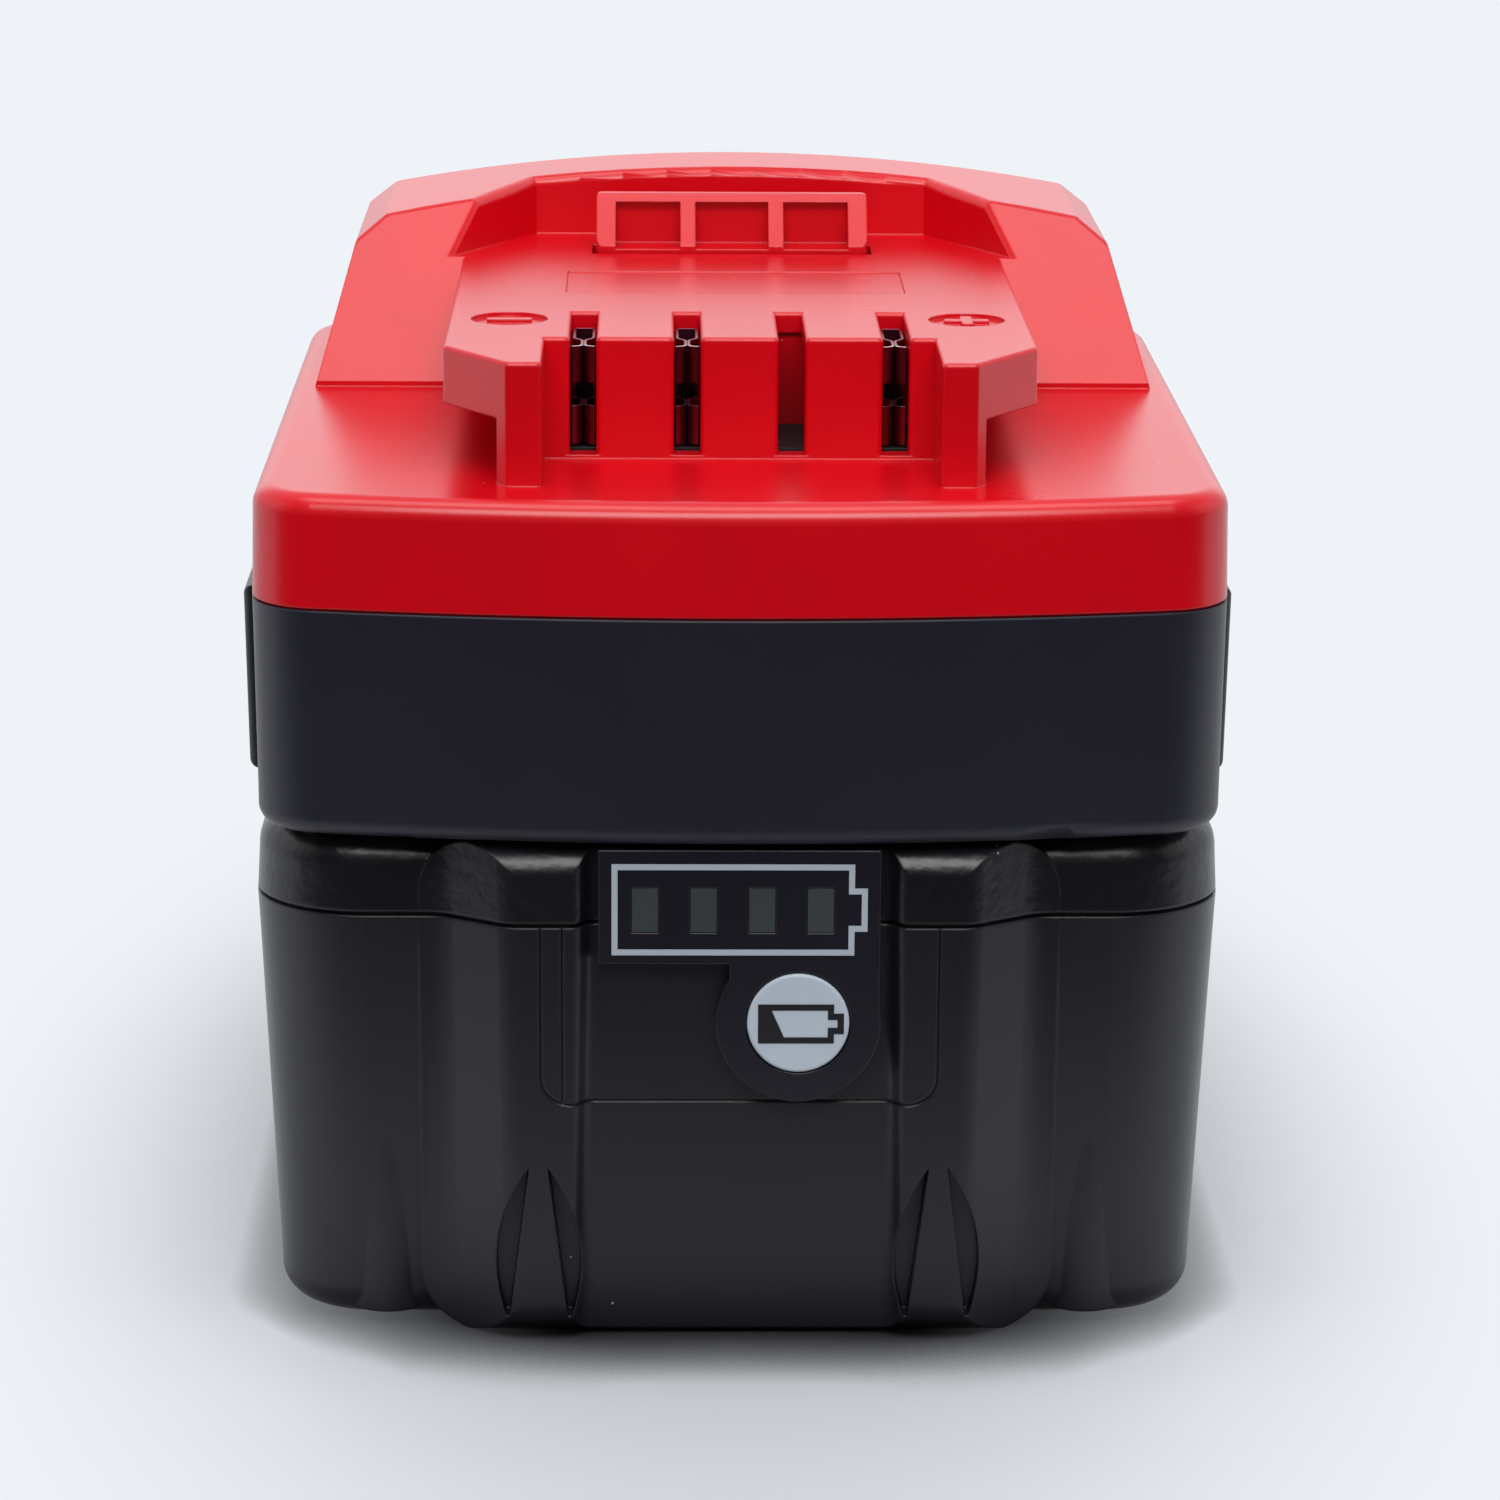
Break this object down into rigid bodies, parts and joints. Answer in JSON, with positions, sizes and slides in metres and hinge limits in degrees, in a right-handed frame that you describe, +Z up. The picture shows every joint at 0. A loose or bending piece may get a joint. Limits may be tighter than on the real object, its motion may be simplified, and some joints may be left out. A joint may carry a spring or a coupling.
{
  "type": "battery adapter",
  "caption": "Adapter that slides onto a power-tool battery pack and carries another tool's rails, terminal slots and latch; shown docked on its pack.",
  "frame": {"origin": "on the surface the pack stands on, under the middle of the whole docked assembly", "axes": "+Z up, +Y from the charge gauge's face towards the pack's latch, along which the pack slides off; +X across, towards the plus terminal"},
  "size_m": [0.079, 0.114, 0.0838],
  "materials": {
    "red_shell": "glossy moulded red",
    "black_ring": "satin charcoal",
    "black_pads": "satin near-black",
    "latch_red": "glossy red, its pockets in shade",
    "carrier_black": "matt black",
    "contact_metal": "tin plated copper alloy",
    "screw_steel": "dark zinc",
    "spring_steel": "bright wire",
    "board_green": "solder mask",
    "chip_black": "moulded chips",
    "pack_black": "satin near-black",
    "cover_black": "fine grained near-black",
    "bezel_black": "smooth black film",
    "print_grey": "printed light grey",
    "window_grey": "milky grey, unlit",
    "button_white": "bluish white",
    "symbol_black": "printed black",
    "gauge_light": "clear diode",
    "switch_metal": "dome switch",
    "cell_wrap": "wrapped can",
    "holder_grey": "moulded holder",
    "nickel": "nickel strip"
  },
  "bodies": {
    "adapter": {"top_housing": "red_shell", "lower_housing": "black_ring", "housing_screws": "screw_steel", "terminal_carrier": "carrier_black", "tool_contact_negative": "contact_metal", "tool_contact_signal": "contact_metal", "tool_contact_positive": "contact_metal", "power_strap_negative": "contact_metal", "power_strap_positive": "contact_metal", "adapter_board": "board_green", "adapter_board_chips": "chip_black", "blade_holder": "carrier_black", "pack_blade_negative": "contact_metal", "pack_blade_positive": "contact_metal", "signal_plug": "carrier_black", "tool_latch_springs": "spring_steel", "release_spring_left": "spring_steel", "release_spring_right": "spring_steel"},
    "release_left": {"release_pad_left": "black_pads"},
    "release_right": {"release_pad_right": "black_pads"},
    "latch": {"tool_latch": "latch_red"},
    "battery_pack": {"pack_case": "pack_black", "pack_cover": "cover_black", "pack_screws": "screw_steel", "gauge_bezel": "bezel_black", "gauge_outline_print": "print_grey", "gauge_windows": "window_grey", "gauge_board": "board_green", "gauge_lights": "gauge_light", "check_switch": "switch_metal", "cell_1": "cell_wrap", "cell_2": "cell_wrap", "cell_3": "cell_wrap", "cell_4": "cell_wrap", "cell_5": "cell_wrap", "cell_6": "cell_wrap", "cell_7": "cell_wrap", "cell_8": "cell_wrap", "cell_9": "cell_wrap", "cell_10": "cell_wrap", "cell_holder_left": "holder_grey", "cell_holder_right": "holder_grey", "cell_strips_left": "nickel", "cell_strips_right": "nickel", "main_board": "board_green", "main_board_parts": "chip_black", "pack_contact_negative": "contact_metal", "pack_contact_positive": "contact_metal", "signal_socket": "carrier_black", "pack_latch_spring": "spring_steel"},
    "check_button": {"check_button": "button_white", "check_button_symbol": "symbol_black"},
    "pack_release": {"pack_latch": "pack_black"}
  },
  "joints": [
    {"name": "release_left_press", "type": "slide", "parent": "adapter", "child": "release_left", "axis": [1, 0, 0], "range_m": [0, 0.0024], "stiffness_N_per_m": 2500, "springref_m": -0.001, "deforming": ["release_spring_left"]},
    {"name": "release_right_press", "type": "slide", "parent": "adapter", "child": "release_right", "axis": [-1, 0, 0], "range_m": [0, 0.0024], "stiffness_N_per_m": 2500, "springref_m": -0.001, "deforming": ["release_spring_right"]},
    {"name": "tool_latch_drop", "type": "slide", "parent": "adapter", "child": "latch", "axis": [0, 0, -1], "range_m": [0, 0.0044], "stiffness_N_per_m": 800, "springref_m": -0.0015, "deforming": ["tool_latch_springs"]},
    {"name": "pack_slide", "type": "slide", "parent": "adapter", "child": "battery_pack", "axis": [0, 1, 0], "range_m": [0, 0.075]},
    {"name": "check_press", "type": "slide", "parent": "battery_pack", "child": "check_button", "axis": [0, 1, 0], "range_m": [0, 0.0005], "stiffness_N_per_m": 2000, "springref_m": -0.0004},
    {"name": "pack_latch_press", "type": "slide", "parent": "battery_pack", "child": "pack_release", "axis": [0, 0, -1], "range_m": [0, 0.0031], "stiffness_N_per_m": 1500, "springref_m": -0.001, "deforming": ["pack_latch_spring"]}
  ],
  "couplings": [
    {"joint": "release_right_press", "follows": "release_left_press", "ratio": 1},
    {"joint": "tool_latch_drop", "follows": "release_left_press", "ratio": 1.8333}
  ]
}
